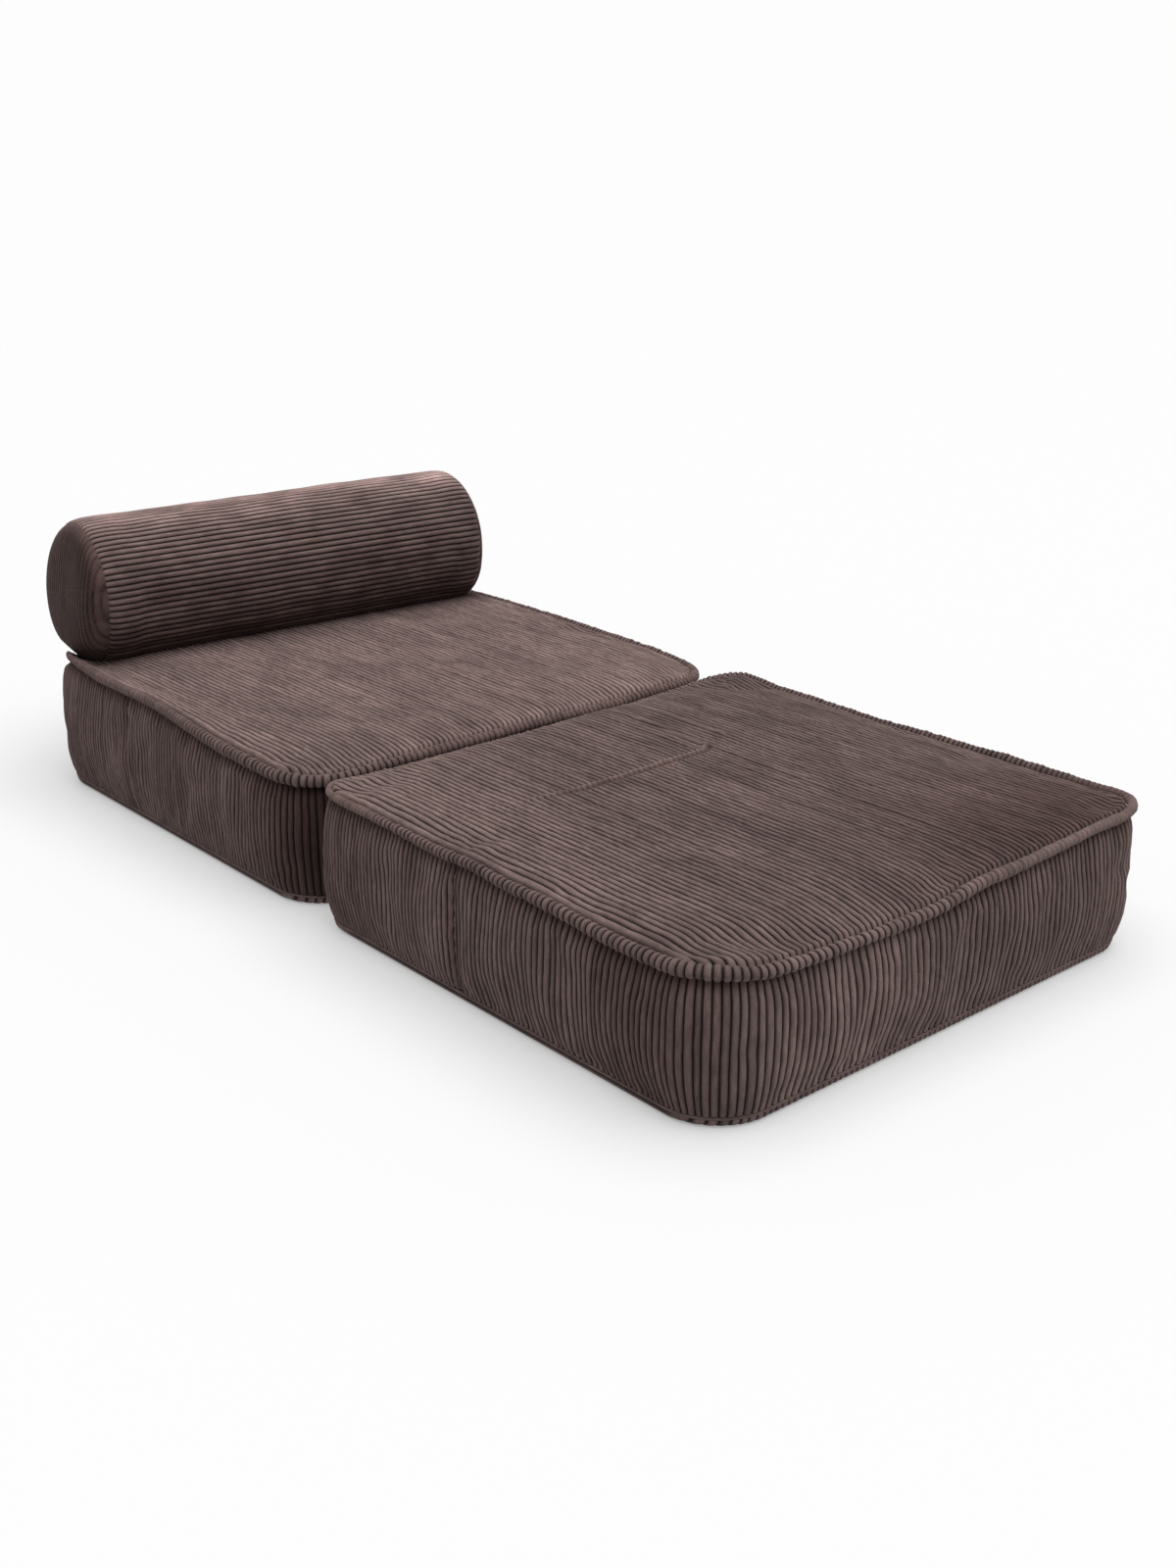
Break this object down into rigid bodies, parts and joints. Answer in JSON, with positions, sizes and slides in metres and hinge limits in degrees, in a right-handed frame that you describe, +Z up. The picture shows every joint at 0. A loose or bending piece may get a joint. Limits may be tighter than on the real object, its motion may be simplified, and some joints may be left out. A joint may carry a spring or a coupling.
{
  "type": "convertible chair bed",
  "caption": "Corduroy chair that opens to a low bed: foam blocks joined by a cloth hinge along their lower edges, with a loose round bolster.",
  "frame": {"origin": "on the floor, under the middle of the whole object's outline in plan", "axes": "+X across the bed, +Y from the foot block to the head block and its bolster, +Z up"},
  "size_m": [0.8, 1.6382, 0.4233],
  "materials": {
    "corduroy": "wide-wale corduroy, brushed pile, dark taupe",
    "foam": "open-cell cushion foam",
    "fibre": "bonded polyester fibre",
    "filler_cord": "soft twisted filler",
    "hinge_cloth": "plain woven strip, dark taupe",
    "zip_tape": "woven zip tape",
    "zip_teeth": "moulded polyester coil",
    "zip_metal": "dark nickel plate"
  },
  "bodies": {
    "head": {"head_bottom_panel": "corduroy", "head_bottom_piping": "corduroy", "head_end_band": "corduroy", "head_fibre_wrap": "fibre", "head_foam_core": "foam", "head_hinge_band": "corduroy", "head_hinge_flap": "hinge_cloth", "head_top_panel": "corduroy", "head_top_welt": "corduroy", "head_welt_cord": "filler_cord", "head_zip_tapes": "zip_tape", "head_zip_teeth": "zip_teeth"},
    "foot": {"foot_bottom_panel": "corduroy", "foot_bottom_piping": "corduroy", "foot_end_band": "corduroy", "foot_fibre_wrap": "fibre", "foot_foam_core": "foam", "foot_hinge_band": "corduroy", "foot_hinge_flap": "hinge_cloth", "foot_top_panel": "corduroy", "foot_top_welt": "corduroy", "foot_welt_cord": "filler_cord", "foot_zip_tapes": "zip_tape", "foot_zip_teeth": "zip_teeth"},
    "bolster": {"bolster_fibre_wrap": "fibre", "bolster_foam_core": "foam", "bolster_left_cap": "corduroy", "bolster_right_cap": "corduroy", "bolster_tube_cover": "corduroy", "bolster_zip_tapes": "zip_tape", "bolster_zip_teeth": "zip_teeth"},
    "head_zip_slider": {"head_zip_slider": "zip_metal"},
    "head_zip_puller": {"head_zip_puller": "zip_metal"},
    "foot_zip_slider": {"foot_zip_slider": "zip_metal"},
    "foot_zip_puller": {"foot_zip_puller": "zip_metal"},
    "bolster_zip_slider": {"bolster_zip_slider": "zip_metal"},
    "bolster_zip_puller": {"bolster_zip_puller": "zip_metal"}
  },
  "joints": [
    {"name": "fold", "type": "hinge", "parent": "head", "child": "foot", "pos_m": [0, -0.0286, -0.0004], "axis": [1, 0, 0], "range_deg": [0, 180]},
    {"name": "bolster_lift", "type": "slide", "parent": "head", "child": "bolster", "axis": [0, 0, 1], "range_m": [0, 0.3]},
    {"name": "head_zip_slide", "type": "slide", "parent": "head", "child": "head_zip_slider", "axis": [1, 0, 0], "range_m": [0, 0.56]},
    {"name": "head_zip_pull", "type": "hinge", "parent": "head_zip_slider", "child": "head_zip_puller", "pos_m": [-0.28, 0.06139, 0.003], "axis": [0, -1, 0], "range_deg": [0, 180]},
    {"name": "foot_zip_slide", "type": "slide", "parent": "foot", "child": "foot_zip_slider", "axis": [-1, 0, 0], "range_m": [0, 0.56]},
    {"name": "foot_zip_pull", "type": "hinge", "parent": "foot_zip_slider", "child": "foot_zip_puller", "pos_m": [0.28, -0.11861, 0.003], "axis": [0, 1, 0], "range_deg": [0, 180]},
    {"name": "bolster_zip_slide", "type": "slide", "parent": "bolster", "child": "bolster_zip_slider", "axis": [0.9965, -0.0837, 0], "range_m": [0, 0.52]},
    {"name": "bolster_zip_pull", "type": "hinge", "parent": "bolster_zip_slider", "child": "bolster_zip_puller", "pos_m": [-0.23691, 0.80155, 0.25933], "axis": [-0.0393, -0.4678, -0.8829], "range_deg": [0, 180]}
  ]
}
